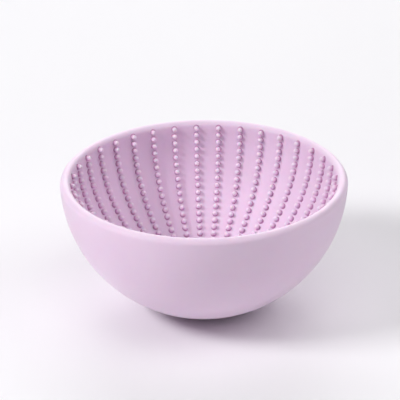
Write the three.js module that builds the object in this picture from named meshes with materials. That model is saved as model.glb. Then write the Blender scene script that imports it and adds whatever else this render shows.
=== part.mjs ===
// A silicone bowl for washing make-up brushes: a round bowl whose inside carries rows of soft nubs.
// Millimetres, +Z up. The origin is the middle of the face that the bowl stands on.

import * as THREE from 'three';

// Driving dimensions of the bowl.
const OUTER_RADIUS = 60; // the outside is part of a ball
const BALL_CENTRE_HEIGHT = 58.8; // the ball's centre stands this far above the table
const RIM_HEIGHT = 57.8; // top of the rounded rim
const WALL = 4.4;
const RIM_OUTER_ROUND = 2.2; // the two rounds of the rim meet at its top
const RIM_INNER_ROUND = 2.2;
const FLOOR_HEIGHT = 5.5; // flat floor inside the bowl
const FLOOR_FILLET = 25; // easy curve between the wall and the floor
const FOOT_HEIGHT = 1.2; // the ring under the bowl
const FOOT_INNER_RADIUS = 8.5;
const FOOT_DRAFT = 0.5; // the ring's bore opens downwards by this much
const FIT_GAP = 0.3; // between pieces that touch

// Driving dimensions of the nubs.
const ROW_COUNT = 36; // evenly spaced round the bowl
const FIRST_ROW_DEGREES = 3.25; // anticlockwise from +X, seen from above
const FIRST_NUB_DEPTH = 3.45; // along the wall, below the level of the ball's centre
const NUB_PITCH = 3.17; // along the wall
const NUB_HEIGHT = 2.2;
const NUB_WIDTH = 2.4;
const NUB_TIP_LENGTH = 1.6; // flat top, measured along the row
const WEB_HEIGHT = 0.9; // the nubs of a row grow out of a web this high
const CLOSEST_ROWS = 3.4; // rows that would come nearer than this to each other stop

// How finely the round shapes are divided.
const SEGMENTS_ROUND = 72;
const OUTSIDE_STEPS = 9;
const INSIDE_STEPS = 8;
const OUTER_ROUND_STEPS = 4;
const INNER_ROUND_STEPS = 3;
const FILLET_STEPS = 3;

const RIGHT_ANGLE = Math.PI / 2;

// The inside wall: a ball of its own, then the fillet, then the flat floor.
const INNER_RADIUS = OUTER_RADIUS - WALL;
const FILLET_CENTRE_HEIGHT = FLOOR_HEIGHT + FLOOR_FILLET;
const FILLET_CENTRE_DROP = BALL_CENTRE_HEIGHT - FILLET_CENTRE_HEIGHT;
const FILLET_CENTRE_RADIUS = Math.sqrt((INNER_RADIUS - FLOOR_FILLET) ** 2 - FILLET_CENTRE_DROP ** 2);
const FILLET_START_ANGLE = Math.atan2(FILLET_CENTRE_DROP, FILLET_CENTRE_RADIUS);
const WALL_LENGTH = INNER_RADIUS * FILLET_START_ANGLE;
const FILLET_LENGTH = FLOOR_FILLET * (RIGHT_ANGLE - FILLET_START_ANGLE);

// Angle below the ball's centre at which its outside passes a given height.
function outsideAngle(height) {
  return Math.asin((BALL_CENTRE_HEIGHT - height) / OUTER_RADIUS);
}

// Points on an arc in the section plane, x outwards and y up. Angles are measured downwards from x.
function arc(centreRadius, centreHeight, radius, fromAngle, toAngle, steps) {
  const points = [];
  for (let i = 0; i <= steps; i += 1) {
    const angle = fromAngle + ((toAngle - fromAngle) * i) / steps;
    points.push(
      new THREE.Vector2(centreRadius + radius * Math.cos(angle), centreHeight - radius * Math.sin(angle)),
    );
  }
  return points;
}

// A closed ring or cup turned about the Z axis from its section, starting in line with a row of nubs.
function turned(section) {
  const geometry = new THREE.LatheGeometry(section, SEGMENTS_ROUND);
  geometry.rotateX(RIGHT_ANGLE);
  geometry.rotateZ(THREE.MathUtils.degToRad(FIRST_ROW_DEGREES));
  return geometry;
}

// A round that makes part of the rim, touching the rim's top. Its centre lies at a distance from the
// ball's centre. It runs from the ball's surface to the top when it is outside, and back when inside.
function rimRound(centreDistance, radius, steps, isOutside) {
  const angle = Math.asin((BALL_CENTRE_HEIGHT - RIM_HEIGHT + radius) / centreDistance);
  const fromAngle = isOutside ? angle : -RIGHT_ANGLE;
  const toAngle = isOutside ? -RIGHT_ANGLE : angle - Math.PI;
  const centreRadius = centreDistance * Math.cos(angle);
  return { angle, points: arc(centreRadius, RIM_HEIGHT - radius, radius, fromAngle, toAngle, steps) };
}

// The bowl: base, outside, two rounds that make the rim, inside wall, fillet and floor.
function bowlShellGeometry() {
  const baseHeight = FOOT_HEIGHT + FIT_GAP;
  const outer = rimRound(OUTER_RADIUS - RIM_OUTER_ROUND, RIM_OUTER_ROUND, OUTER_ROUND_STEPS, true);
  const inner = rimRound(INNER_RADIUS + RIM_INNER_ROUND, RIM_INNER_ROUND, INNER_ROUND_STEPS, false);
  const outside = arc(0, BALL_CENTRE_HEIGHT, OUTER_RADIUS, outsideAngle(baseHeight), outer.angle, OUTSIDE_STEPS);
  const wall = arc(0, BALL_CENTRE_HEIGHT, INNER_RADIUS, inner.angle, FILLET_START_ANGLE, INSIDE_STEPS);
  const fillet = arc(
    FILLET_CENTRE_RADIUS,
    FILLET_CENTRE_HEIGHT,
    FLOOR_FILLET,
    FILLET_START_ANGLE,
    RIGHT_ANGLE,
    FILLET_STEPS,
  );
  return turned([
    new THREE.Vector2(0, baseHeight),
    ...outside,
    ...outer.points.slice(1),
    ...inner.points.slice(1),
    ...wall.slice(1),
    ...fillet.slice(1),
    new THREE.Vector2(0, FLOOR_HEIGHT),
  ]);
}

// The ring that the bowl stands on. Its outside carries the ball's outside down to the table.
function footRingGeometry() {
  const outside = arc(0, BALL_CENTRE_HEIGHT, OUTER_RADIUS, outsideAngle(0), outsideAngle(FOOT_HEIGHT), 1);
  const start = new THREE.Vector2(FOOT_INNER_RADIUS, 0);
  return turned([start, ...outside, new THREE.Vector2(FOOT_INNER_RADIUS - FOOT_DRAFT, FOOT_HEIGHT), start]);
}

// A point at a length along the inside wall, measured down from the level of the ball's centre,
// and at a height above the wall's surface.
function aboveWall(length, height) {
  if (length < WALL_LENGTH) {
    const angle = length / INNER_RADIUS;
    return arc(0, BALL_CENTRE_HEIGHT, INNER_RADIUS - height, angle, angle, 1)[0];
  }
  if (length < WALL_LENGTH + FILLET_LENGTH) {
    const angle = FILLET_START_ANGLE + (length - WALL_LENGTH) / FLOOR_FILLET;
    return arc(FILLET_CENTRE_RADIUS, FILLET_CENTRE_HEIGHT, FLOOR_FILLET - height, angle, angle, 1)[0];
  }
  const alongFloor = length - WALL_LENGTH - FILLET_LENGTH;
  return new THREE.Vector2(FILLET_CENTRE_RADIUS - alongFloor, FLOOR_HEIGHT + height);
}

// Lengths along the wall of the nubs in a row, down to where the rows that go on get too close.
function nubLengths(rowsSharingFloor) {
  const smallestRadius = (rowsSharingFloor * CLOSEST_ROWS) / (2 * Math.PI);
  const lengths = [];
  let length = FIRST_NUB_DEPTH;
  while (aboveWall(length, 0).x > smallestRadius) {
    lengths.push(length);
    length += NUB_PITCH;
  }
  return lengths;
}

// One row of nubs: the side view of the row, as wide as a nub, standing on the wall.
function nubRowGeometry(rowsSharingFloor) {
  const lengths = nubLengths(rowsSharingFloor);
  const last = lengths.length - 1;
  const outline = [aboveWall(lengths[0] - NUB_PITCH / 2, WEB_HEIGHT)];
  for (const length of lengths) {
    outline.push(aboveWall(length - NUB_TIP_LENGTH / 2, NUB_HEIGHT));
    outline.push(aboveWall(length + NUB_TIP_LENGTH / 2, NUB_HEIGHT));
    outline.push(aboveWall(length + NUB_PITCH / 2, WEB_HEIGHT));
  }
  outline.push(aboveWall(lengths[last] + NUB_PITCH / 2, FIT_GAP));
  for (let i = last - 1; i > 0; i -= 2) {
    outline.push(aboveWall(lengths[i], FIT_GAP));
  }
  outline.push(aboveWall(lengths[0] - NUB_PITCH / 2, FIT_GAP));
  const geometry = new THREE.ExtrudeGeometry(new THREE.Shape(outline), {
    depth: NUB_WIDTH,
    bevelEnabled: false,
  });
  geometry.translate(0, 0, -NUB_WIDTH / 2);
  geometry.rotateX(RIGHT_ANGLE);
  return geometry;
}

// Soft matte silicone in one pale mauve.
function silicone() {
  return new THREE.MeshStandardMaterial({ color: 0xeed4ec, roughness: 0.6, metalness: 0 });
}

function namedMesh(name, geometry) {
  const mesh = new THREE.Mesh(geometry, silicone());
  mesh.name = name;
  return mesh;
}

const brushCleaner = new THREE.Group();
brushCleaner.add(namedMesh('bowl_shell', bowlShellGeometry()));
brushCleaner.add(namedMesh('foot_ring', footRingGeometry()));

// Every second row reaches further across the floor, where there is room for only half of them.
const shortRow = nubRowGeometry(ROW_COUNT);
const longRow = nubRowGeometry(ROW_COUNT / 2);
for (let i = 0; i < ROW_COUNT; i += 1) {
  const geometry = i % 2 === 0 ? longRow : shortRow;
  const row = namedMesh(`nub_row_${String(i + 1).padStart(2, '0')}`, geometry);
  row.rotation.z = THREE.MathUtils.degToRad(FIRST_ROW_DEGREES + (i * 360) / ROW_COUNT);
  brushCleaner.add(row);
}

export default brushCleaner;
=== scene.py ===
"""The looks of a silicone bowl for washing make-up brushes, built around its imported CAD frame."""

import math

import bpy
import numpy as np
from mathutils import Euler, Matrix, Vector


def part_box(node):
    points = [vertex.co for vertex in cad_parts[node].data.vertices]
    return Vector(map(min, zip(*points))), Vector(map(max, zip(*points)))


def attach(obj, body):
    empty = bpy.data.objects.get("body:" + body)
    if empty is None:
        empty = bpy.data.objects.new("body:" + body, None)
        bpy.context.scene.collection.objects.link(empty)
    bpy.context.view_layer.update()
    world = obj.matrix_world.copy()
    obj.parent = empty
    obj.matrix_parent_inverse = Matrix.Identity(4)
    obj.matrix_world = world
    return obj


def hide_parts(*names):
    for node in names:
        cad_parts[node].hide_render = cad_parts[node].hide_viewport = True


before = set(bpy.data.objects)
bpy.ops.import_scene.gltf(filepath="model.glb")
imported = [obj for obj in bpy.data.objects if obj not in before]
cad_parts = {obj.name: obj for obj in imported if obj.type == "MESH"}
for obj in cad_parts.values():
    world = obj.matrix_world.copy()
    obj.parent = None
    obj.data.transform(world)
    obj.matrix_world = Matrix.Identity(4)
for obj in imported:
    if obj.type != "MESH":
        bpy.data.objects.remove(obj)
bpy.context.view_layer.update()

# Sizes in metres, as in the CAD model.
BALL_RADIUS = 0.060
BALL_CENTRE_HEIGHT = 0.0588
WALL = 0.0044
RIM_OUTER_ROUND = 0.0022
RIM_INNER_ROUND = 0.0022
FLOOR_HEIGHT = 0.0055
FLOOR_FILLET = 0.025
FOOT_INNER_RADIUS = 0.0085
FIRST_ROW_DEGREES = 3.25
FIRST_NUB_DEPTH = 0.00345
NUB_PITCH = 0.00317
NUB_HEIGHT = 0.0022
NUB_ROOT_RADIUS = 0.00115
NUB_TIP_RADIUS = 0.001
CLOSEST_ROWS = 0.0034

# Sizes that only the looks need.
FOOT_EDGE_ROUND = 0.0005
NUB_FILLET = 0.0002  # where a nub flares into the wall
NUB_ROOT = 0.0006  # how deep a nub's closed end sits inside the wall

# How finely the shapes are divided.
ROUND_SEGMENTS = 128
NUB_SEGMENTS = 16
OUTSIDE_STEPS = 36
OUTER_ROUND_STEPS = 9
INNER_ROUND_STEPS = 6
WALL_STEPS = 32
FILLET_STEPS = 12
FOOT_STEPS = 4
FLARE_POINTS = 4
TIP_POINTS = 6

RIGHT_ANGLE = math.pi / 2
ON_AXIS = 1e-9  # a point nearer to the axis than this lies on it

shell_low, shell_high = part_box("bowl_shell")
row_nodes = sorted(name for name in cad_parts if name.startswith("nub_row_"))

# The inside wall: a ball of its own, then a fillet, then the flat floor.
INNER_RADIUS = BALL_RADIUS - WALL
FILLET_CENTRE_HEIGHT = FLOOR_HEIGHT + FLOOR_FILLET
FILLET_CENTRE_DROP = BALL_CENTRE_HEIGHT - FILLET_CENTRE_HEIGHT
FILLET_CENTRE_RADIUS = math.sqrt((INNER_RADIUS - FLOOR_FILLET) ** 2 - FILLET_CENTRE_DROP**2)
FILLET_START_ANGLE = math.atan2(FILLET_CENTRE_DROP, FILLET_CENTRE_RADIUS)
WALL_LENGTH = INNER_RADIUS * FILLET_START_ANGLE
FILLET_LENGTH = FLOOR_FILLET * (RIGHT_ANGLE - FILLET_START_ANGLE)


# ---- Shapes ----


def arc(centre_radius, centre_height, radius, start, end, steps):
    """Points (radius, height) on an arc. Angles are in radians, measured downwards from outwards."""
    angles = np.linspace(start, end, steps + 1)
    return [
        (centre_radius + radius * math.cos(a), centre_height - radius * math.sin(a)) for a in angles
    ]


def outside_angle(height):
    """Angle below the ball's centre at which its outside passes a height."""
    return math.asin((BALL_CENTRE_HEIGHT - height) / BALL_RADIUS)


def turned(profile, segments, closed=False):
    """Vertices and faces of a profile of (radius, height) points turned about Z.

    A point on the axis becomes one vertex. A closed profile joins its last point to its first.
    """
    angles = np.linspace(0, 2 * math.pi, segments, endpoint=False)
    vertices, rings = [], []
    for radius, height in profile:
        start = len(vertices)
        if radius < ON_AXIS:
            vertices.append((0.0, 0.0, height))
            rings.append([start] * segments)
        else:
            vertices += [(radius * math.cos(a), radius * math.sin(a), height) for a in angles]
            rings.append(list(range(start, start + segments)))
    pairs = list(zip(rings, rings[1:] + rings[:1])) if closed else list(zip(rings, rings[1:]))
    faces = []
    for lower, upper in pairs:
        for i in range(segments):
            j = (i + 1) % segments
            corners = [lower[i], lower[j], upper[j], upper[i]]
            faces.append([c for k, c in enumerate(corners) if c != corners[k - 1]])
    return np.array(vertices), faces


def piece(name, vertices, faces, replaced, material):
    """A smooth-shaded mesh object that rides on the body and stands for CAD nodes."""
    mesh = bpy.data.meshes.new(name)
    mesh.from_pydata([tuple(v) for v in vertices], [], faces)
    mesh.shade_smooth()
    mesh.materials.append(material)
    obj = bpy.data.objects.new(name, mesh)
    bpy.context.scene.collection.objects.link(obj)
    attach(obj, "root")
    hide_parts(replaced)
    return obj


def subdivide(obj, levels):
    """Catmull-Clark subdivision, the same in the viewport and in the render."""
    modifier = obj.modifiers.new("subdivision", "SUBSURF")
    modifier.levels = levels
    modifier.render_levels = levels


def above_wall(length, height):
    """A point (radius, height) off the inside wall, and the wall's tilt there.

    length runs down the wall from the level of the ball's centre. The tilt is the angle of the wall's
    inward normal above the horizontal, in radians.
    """
    if length < WALL_LENGTH:
        tilt = length / INNER_RADIUS
        radius, centre = INNER_RADIUS - height, (0.0, BALL_CENTRE_HEIGHT)
    elif length < WALL_LENGTH + FILLET_LENGTH:
        tilt = FILLET_START_ANGLE + (length - WALL_LENGTH) / FLOOR_FILLET
        radius, centre = FLOOR_FILLET - height, (FILLET_CENTRE_RADIUS, FILLET_CENTRE_HEIGHT)
    else:
        along_floor = length - WALL_LENGTH - FILLET_LENGTH
        return (FILLET_CENTRE_RADIUS - along_floor, FLOOR_HEIGHT + height), RIGHT_ANGLE
    return (centre[0] + radius * math.cos(tilt), centre[1] - radius * math.sin(tilt)), tilt


def nub_lengths(rows_sharing_floor):
    """Lengths along the wall of the nubs in a row, down to where the rows get too close."""
    smallest_radius = rows_sharing_floor * CLOSEST_ROWS / (2 * math.pi)
    lengths = []
    length = FIRST_NUB_DEPTH
    while above_wall(length, 0)[0][0] > smallest_radius:
        lengths.append(length)
        length += NUB_PITCH
    return lengths


def rim_angle(ball_radius, round_radius):
    """Angle below the ball's centre of a rim round that lies against a ball and touches the rim's top.

    The round's radius is negative when it lies on the outside of its ball.
    """
    drop = BALL_CENTRE_HEIGHT - shell_high.z + abs(round_radius)
    return math.asin(drop / (ball_radius - round_radius))


def bowl_profile():
    """Section of the bowl, from the middle of its underside round the rim to the middle of its floor."""
    base = shell_low.z
    rim_top = shell_high.z
    outer_angle = rim_angle(BALL_RADIUS, RIM_OUTER_ROUND)
    inner_angle = rim_angle(INNER_RADIUS, -RIM_INNER_ROUND)
    outer_round_radius = (BALL_RADIUS - RIM_OUTER_ROUND) * math.cos(outer_angle)
    inner_round_radius = (INNER_RADIUS + RIM_INNER_ROUND) * math.cos(inner_angle)
    outside = arc(
        0, BALL_CENTRE_HEIGHT, BALL_RADIUS, outside_angle(base), outer_angle, OUTSIDE_STEPS
    )
    outer_round = arc(
        outer_round_radius,
        rim_top - RIM_OUTER_ROUND,
        RIM_OUTER_ROUND,
        outer_angle,
        -RIGHT_ANGLE,
        OUTER_ROUND_STEPS,
    )
    inner_round = arc(
        inner_round_radius,
        rim_top - RIM_INNER_ROUND,
        RIM_INNER_ROUND,
        -RIGHT_ANGLE,
        inner_angle - math.pi,
        INNER_ROUND_STEPS,
    )
    wall = arc(0, BALL_CENTRE_HEIGHT, INNER_RADIUS, inner_angle, FILLET_START_ANGLE, WALL_STEPS)
    fillet = arc(
        FILLET_CENTRE_RADIUS,
        FILLET_CENTRE_HEIGHT,
        FLOOR_FILLET,
        FILLET_START_ANGLE,
        RIGHT_ANGLE,
        FILLET_STEPS,
    )
    # The flats are divided at parts of their radius. The underside's last part keeps its edge crisp.
    floor = [(FILLET_CENTRE_RADIUS * part, FLOOR_HEIGHT) for part in (0.75, 0.5, 0.25, 0)]
    underside = [(outside[0][0] * part, base) for part in (0, 0.25, 0.5, 0.75, 0.97)]
    return underside + outside + outer_round[1:] + inner_round[1:] + wall[1:] + fillet[1:] + floor


def make_bowl(material):
    vertices, faces = turned(bowl_profile(), ROUND_SEGMENTS)
    bowl = piece("bowl_body", vertices, faces, "bowl_shell", material)
    subdivide(bowl, 1)


def foot_profile():
    """Closed section of the ring that the bowl stands on, with its lower edges rounded."""
    outer, inner = BALL_RADIUS * math.cos(outside_angle(0)), FOOT_INNER_RADIUS
    top = shell_low.z
    edge = FOOT_EDGE_ROUND
    outside = arc(
        0, BALL_CENTRE_HEIGHT, BALL_RADIUS, outside_angle(edge), outside_angle(top), FOOT_STEPS
    )
    # The outer edge's round stops short of upright, where the ball's outside takes over.
    outer_edge = arc(outer - edge, edge, edge, RIGHT_ANGLE, RIGHT_ANGLE * 0.3, FOOT_STEPS)
    inner_edge = arc(inner + edge, edge, edge, RIGHT_ANGLE * 2, RIGHT_ANGLE, FOOT_STEPS)
    flat = [((inner + outer) / 2, 0.0)]
    return inner_edge + flat + outer_edge + outside[1:] + [(inner, top)]


def make_foot(material):
    vertices, faces = turned(foot_profile(), ROUND_SEGMENTS, closed=True)
    foot = piece("standing_ring", vertices, faces, "foot_ring", material)
    subdivide(foot, 1)


def nub_profile():
    """Section of one nub, from its closed end inside the wall to the middle of its round tip."""
    taper = math.atan2(NUB_ROOT_RADIUS - NUB_TIP_RADIUS, NUB_HEIGHT - NUB_TIP_RADIUS)
    flare = [
        (NUB_ROOT_RADIUS + NUB_FILLET * (1 - math.sin(a)), NUB_FILLET * (1 - math.cos(a)))
        for a in np.linspace(0, RIGHT_ANGLE, FLARE_POINTS)
    ]
    tip_height = NUB_HEIGHT - NUB_TIP_RADIUS
    tip = [
        (NUB_TIP_RADIUS * math.cos(a), tip_height + NUB_TIP_RADIUS * math.sin(a))
        for a in np.linspace(taper, RIGHT_ANGLE, TIP_POINTS)
    ]
    tip[-1] = (0.0, NUB_HEIGHT)
    middle = tuple((low + high) / 2 for low, high in zip(flare[-1], tip[0]))
    # The closed end inside the wall has a small bevel.
    root = [(0.0, -NUB_ROOT), (flare[0][0] * 0.9, -NUB_ROOT), (flare[0][0], -NUB_ROOT * 0.5)]
    return root + flare + [middle] + tip


def make_nub_row(number, node, rows_sharing_floor, material):
    """One row of round-ended nubs on the wall, at its own angle round the bowl."""
    nub_vertices, nub_faces = turned(nub_profile(), NUB_SEGMENTS)
    azimuth = math.radians(FIRST_ROW_DEGREES + number * 360 / len(row_nodes))
    outwards = Vector((math.cos(azimuth), math.sin(azimuth), 0))
    sideways = Vector((-math.sin(azimuth), math.cos(azimuth), 0))
    vertices, faces = [], []
    for length in nub_lengths(rows_sharing_floor):
        (radius, height), tilt = above_wall(length, 0)
        normal = -outwards * math.cos(tilt) + Vector((0, 0, math.sin(tilt)))
        along = sideways.cross(normal)
        turn = np.array([along, sideways, normal])
        place = np.array(outwards * radius + Vector((0, 0, height)))
        first = len(vertices)
        vertices += [tuple(v) for v in nub_vertices @ turn + place]
        faces += [[first + corner for corner in face] for face in nub_faces]
    row = piece(f"nubs_{number + 1:02d}", vertices, faces, node, material)
    # "rise" is 0 at a nub's root and 1 at its tip, for the material's painted shade at the roots and
    # painted light at the tips.
    repeats = len(vertices) // len(nub_vertices)
    rise = np.tile(np.clip(nub_vertices[:, 2] / NUB_HEIGHT, 0, 1), repeats)
    attribute = row.data.attributes.new("rise", "FLOAT", "POINT")
    attribute.data.foreach_set("value", rise.astype(np.float32))


# ---- Materials ----


def srgb(red, green, blue):
    """A linear colour with alpha from 0 to 255 display values."""
    values = [c / 255 for c in (red, green, blue)]
    return (*[v / 12.92 if v <= 0.04045 else ((v + 0.055) / 1.055) ** 2.4 for v in values], 1.0)


# The silicone, its paler colour, painted shade for the roots of the nubs, and painted light for their
# tips. The paler colour makes the random mottle, a painted highlight on the rim top, and wear on the
# face under the foot.
MAUVE = srgb(238, 212, 236)
PALE_MAUVE = srgb(244, 223, 243)
PAINTED_ROOT_SHADE = srgb(194, 140, 180)
PAINTED_TIP_LIGHT = srgb(249, 234, 248)

# The skin of the silicone. Noise scales are per metre, and depths are in metres.
MOTTLE_SCALE = 55
MOTTLE_STRENGTH = 0.35
SMUDGE_SCALE = 90
GRAIN_SCALE = 3200
GRAIN_DEPTH = 0.00003
SWELL_SCALE = 160
SWELL_DEPTH = 0.00025
SUBSURFACE_WEIGHT = 0.3
SUBSURFACE_RADIUS = (1.0, 0.4, 0.6)
SUBSURFACE_SCALE = 0.0009


class Nodes:
    """A short way to add and join shader nodes."""

    def __init__(self, name):
        self.material = bpy.data.materials.new(name)
        self.material.use_nodes = True
        self.tree = self.material.node_tree
        self.shader = self.tree.nodes["Principled BSDF"]

    def add(self, kind, settings=None, inputs=None):
        node = self.tree.nodes.new("ShaderNode" + kind)
        for key, value in (settings or {}).items():
            setattr(node, key, value)
        for key, value in (inputs or {}).items():
            self.feed(value, node.inputs[key])
        return node

    def feed(self, value, socket):
        if isinstance(value, bpy.types.NodeSocket):
            self.tree.links.new(value, socket)
        else:
            socket.default_value = value

    def noise(self, scale, detail=3.0, roughness=0.5):
        place = self.add("TexCoord").outputs["Object"]
        inputs = {"Vector": place, "Scale": scale, "Detail": detail, "Roughness": roughness}
        return self.add("TexNoise", inputs=inputs).outputs["Fac"]

    def remap(self, value, from_low, from_high, to_low, to_high):
        inputs = {
            "Value": value,
            "From Min": from_low,
            "From Max": from_high,
            "To Min": to_low,
            "To Max": to_high,
        }
        return self.add("MapRange", {"clamp": True}, inputs).outputs["Result"]

    def math(self, operation, first, second):
        node = self.add("Math", {"operation": operation})
        self.feed(first, node.inputs[0])
        self.feed(second, node.inputs[1])
        return node.outputs[0]

    def mix(self, factor, first, second):
        node = self.add("Mix", {"data_type": "RGBA"})
        self.feed(factor, node.inputs["Factor"])
        self.feed(first, node.inputs[6])
        self.feed(second, node.inputs[7])
        return node.outputs[2]


def silicone(name, colour, pale_colour, edge_mask, base_roughness, sheen, root_shade_colour=None):
    """Soft matte silicone: a faint mottle, a fine moulded grain, and paler smoother skin on the edges
    that the edge mask marks.

    edge_mask is a function that makes the node that says where the skin is paler and smoother: in the
    bowl a painted highlight on the rim top, in the nubs painted light on their tips, in the foot wear on
    the face under it. A root shade colour, if there is one, paints shade on the roots of the nubs.
    """
    nodes = Nodes(name)
    edge = edge_mask(nodes)
    mottle = nodes.remap(nodes.noise(MOTTLE_SCALE, 4.0), 0.3, 0.7, 0.0, MOTTLE_STRENGTH)
    blend = nodes.math("MAXIMUM", mottle, edge)
    # The paler colour shows in the random mottle and where the edge mask is: a painted highlight on the
    # rim top, painted light on the nub tips, wear under the foot.
    tone = nodes.mix(blend, colour, pale_colour)
    if root_shade_colour:
        # Painted shade: the roots of the nubs are darkened where shade falls between them.
        tone = nodes.mix(root_shade_mask(nodes), tone, root_shade_colour)
    nodes.feed(tone, nodes.shader.inputs["Base Color"])
    smudges = nodes.noise(SMUDGE_SCALE, 5.0, 0.6)
    smudge = nodes.remap(smudges, 0.3, 0.7, base_roughness - 0.05, base_roughness + 0.06)
    smoother_edge = nodes.math("MULTIPLY", edge, 0.08)
    nodes.feed(nodes.math("SUBTRACT", smudge, smoother_edge), nodes.shader.inputs["Roughness"])
    grain_inputs = {
        "Height": nodes.noise(GRAIN_SCALE, 2.0),
        "Strength": 0.35,
        "Distance": GRAIN_DEPTH,
    }
    grain_bump = nodes.add("Bump", inputs=grain_inputs)
    swell_inputs = {
        "Height": nodes.noise(SWELL_SCALE, 2.0),
        "Strength": 0.25,
        "Distance": SWELL_DEPTH,
        "Normal": grain_bump.outputs[0],
    }
    swell_bump = nodes.add("Bump", inputs=swell_inputs)
    nodes.feed(swell_bump.outputs[0], nodes.shader.inputs["Normal"])
    shader = nodes.shader.inputs
    shader["Subsurface Weight"].default_value = SUBSURFACE_WEIGHT
    shader["Subsurface Radius"].default_value = SUBSURFACE_RADIUS
    shader["Subsurface Scale"].default_value = SUBSURFACE_SCALE
    shader["Specular IOR Level"].default_value = 0.3
    shader["Sheen Weight"].default_value = sheen
    shader["Sheen Roughness"].default_value = 0.4
    return nodes.material


def height_above_table(nodes):
    place = nodes.add("TexCoord").outputs["Object"]
    return nodes.add("SeparateXYZ", inputs={0: place}).outputs["Z"]


def rim_highlight_mask(nodes):
    """Up to 0.8 on the top of the rim, and 0 on the walls: a painted highlight where the rim's top
    catches the light, which also makes the skin there smoother.
    """
    band = nodes.remap(height_above_table(nodes), shell_high.z - WALL, shell_high.z, 0.0, 0.8)
    return nodes.math("MULTIPLY", band, nodes.remap(nodes.noise(120, 3.0), 0.3, 0.6, 0.4, 1.0))


def tip_light_mask(nodes):
    """Up to 0.9 on the tips of the nubs, and 0 on their lower parts: painted light where the tips catch
    the light, which also makes them smoother.
    """
    rise = nodes.add("Attribute", {"attribute_name": "rise"}).outputs["Fac"]
    return nodes.remap(rise, 0.35, 1.0, 0.0, 0.9)


def root_shade_mask(nodes):
    """Painted shade: 1 at the roots of the nubs, which lie in shade, and 0 from two thirds of the way
    up.
    """
    rise = nodes.add("Attribute", {"attribute_name": "rise"}).outputs["Fac"]
    return nodes.remap(rise, 0.1, 0.65, 1.0, 0.0)


def underside_mask(nodes):
    """Up to 0.7 on the face that rubs on the table."""
    band = nodes.remap(height_above_table(nodes), 0.0, FOOT_EDGE_ROUND, 0.7, 0.0)
    return nodes.math("MULTIPLY", band, nodes.remap(nodes.noise(200, 3.0), 0.35, 0.6, 0.2, 1.0))


# ---- Setting ----


# Lengths in metres, angles in degrees, the lens in millimetres. The camera sits on an arc about the
# ball's centre, and its pitch, yaw and roll are its own.
CAMERA_DISTANCE = 1.2
CAMERA_ELEVATION = 25.13
CAMERA_PITCH = 25.63
CAMERA_YAW = -0.09
CAMERA_ROLL = -0.49
CAMERA_LENS = 260.0
CAMERA_SENSOR_WIDTH = 36.0
LIGHT_DISTANCE = 1.5
STUDIO_FLOOR_HALF_WIDTH = 4.0


def make_camera():
    data = bpy.data.cameras.new("camera")
    data.sensor_width = CAMERA_SENSOR_WIDTH
    data.lens = CAMERA_LENS
    camera = bpy.data.objects.new("camera", data)
    bpy.context.scene.collection.objects.link(camera)
    rise = math.radians(CAMERA_ELEVATION)
    back = Vector((0, -math.cos(rise), math.sin(rise)))
    camera.location = Vector((0, 0, BALL_CENTRE_HEIGHT)) + back * CAMERA_DISTANCE
    aim = Euler((RIGHT_ANGLE - math.radians(CAMERA_PITCH), 0, -math.radians(CAMERA_YAW))).to_matrix()
    aim = aim @ Matrix.Rotation(math.radians(CAMERA_ROLL), 3, "Z")
    camera.rotation_euler = aim.to_euler()
    bpy.context.scene.camera = camera


def make_light(name, azimuth, elevation, width, height, power):
    """A rectangular area light aimed at the bowl. Azimuth is in degrees anticlockwise from +X."""
    data = bpy.data.lights.new(name, "AREA")
    data.shape = "RECTANGLE"
    data.size = width
    data.size_y = height
    data.energy = power
    light = bpy.data.objects.new(name, data)
    bpy.context.scene.collection.objects.link(light)
    a, e = math.radians(azimuth), math.radians(elevation)
    direction = Vector((math.cos(a) * math.cos(e), math.sin(a) * math.cos(e), math.sin(e)))
    target = Vector((0, 0, BALL_CENTRE_HEIGHT / 2))
    light.location = target + direction * LIGHT_DISTANCE
    light.rotation_euler = direction.to_track_quat("Z", "Y").to_euler()


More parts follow.
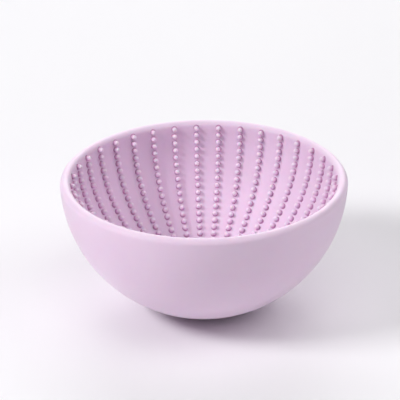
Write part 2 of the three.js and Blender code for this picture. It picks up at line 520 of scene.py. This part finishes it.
def make_floor():
    """A wide pale studio floor with the faintest tone in it."""
    mesh = bpy.data.meshes.new("studio_floor")
    half = STUDIO_FLOOR_HALF_WIDTH
    corners = [(-half, -half, 0), (half, -half, 0), (half, half, 0), (-half, half, 0)]
    mesh.from_pydata(corners, [], [(0, 1, 2, 3)])
    nodes = Nodes("studio_floor")
    tone = nodes.remap(nodes.noise(2.5, 2.0), 0.3, 0.7, 0.0, 1.0)
    paint = nodes.mix(tone, srgb(243, 242, 245), srgb(246, 245, 247))
    nodes.feed(paint, nodes.shader.inputs["Base Color"])
    nodes.shader.inputs["Roughness"].default_value = 0.6
    nodes.shader.inputs["Specular IOR Level"].default_value = 0.1
    mesh.materials.append(nodes.material)
    floor = bpy.data.objects.new("studio_floor", mesh)
    bpy.context.scene.collection.objects.link(floor)


def make_world():
    """A faint lavender glow all round, and colours shown as they are."""
    world = bpy.data.worlds.new("studio")
    world.use_nodes = True
    background = world.node_tree.nodes["Background"]
    background.inputs["Color"].default_value = (0.92, 0.84, 1.0, 1.0)
    background.inputs["Strength"].default_value = 0.035
    bpy.context.scene.world = world
    bpy.context.scene.view_settings.view_transform = "Standard"


make_camera()
make_world()
make_floor()

# A small key light on the left, and large soft lights all round.
make_light("key_light", azimuth=201.5, elevation=39, width=0.5, height=0.35, power=13.8)
make_light("low_back_fill", azimuth=90, elevation=12, width=1.0, height=1.0, power=8.2)
make_light("back_fill", azimuth=90, elevation=35, width=1.0, height=1.0, power=6.75)
make_light("right_fill", azimuth=0, elevation=35, width=1.0, height=1.0, power=5.1)
make_light("front_fill", azimuth=270, elevation=35, width=1.0, height=1.0, power=1.5)
make_light("right_top_light", azimuth=315, elevation=60, width=1.0, height=1.0, power=3.1)
make_light("top_light", azimuth=270, elevation=72, width=0.8, height=0.8, power=3.2)

# The bowl's rim top is paler: a painted highlight.
make_bowl(silicone("bowl_silicone", MAUVE, PALE_MAUVE, rim_highlight_mask, base_roughness=0.55, sheen=0.3))
make_foot(silicone("foot_silicone", MAUVE, PALE_MAUVE, underside_mask, base_roughness=0.55, sheen=0.25))
# The nubs are darker at their roots and paler at their tips: painted shade and painted light.
nub_material = silicone(
    "nub_silicone", MAUVE, PAINTED_TIP_LIGHT, tip_light_mask, base_roughness=0.5, sheen=0.0, root_shade_colour=PAINTED_ROOT_SHADE
)
# Every second row reaches further across the floor, where there is room for only half of them.
for number, node in enumerate(row_nodes):
    rows_sharing_floor = len(row_nodes) / 2 if number % 2 == 0 else len(row_nodes)
    make_nub_row(number, node, rows_sharing_floor, nub_material)
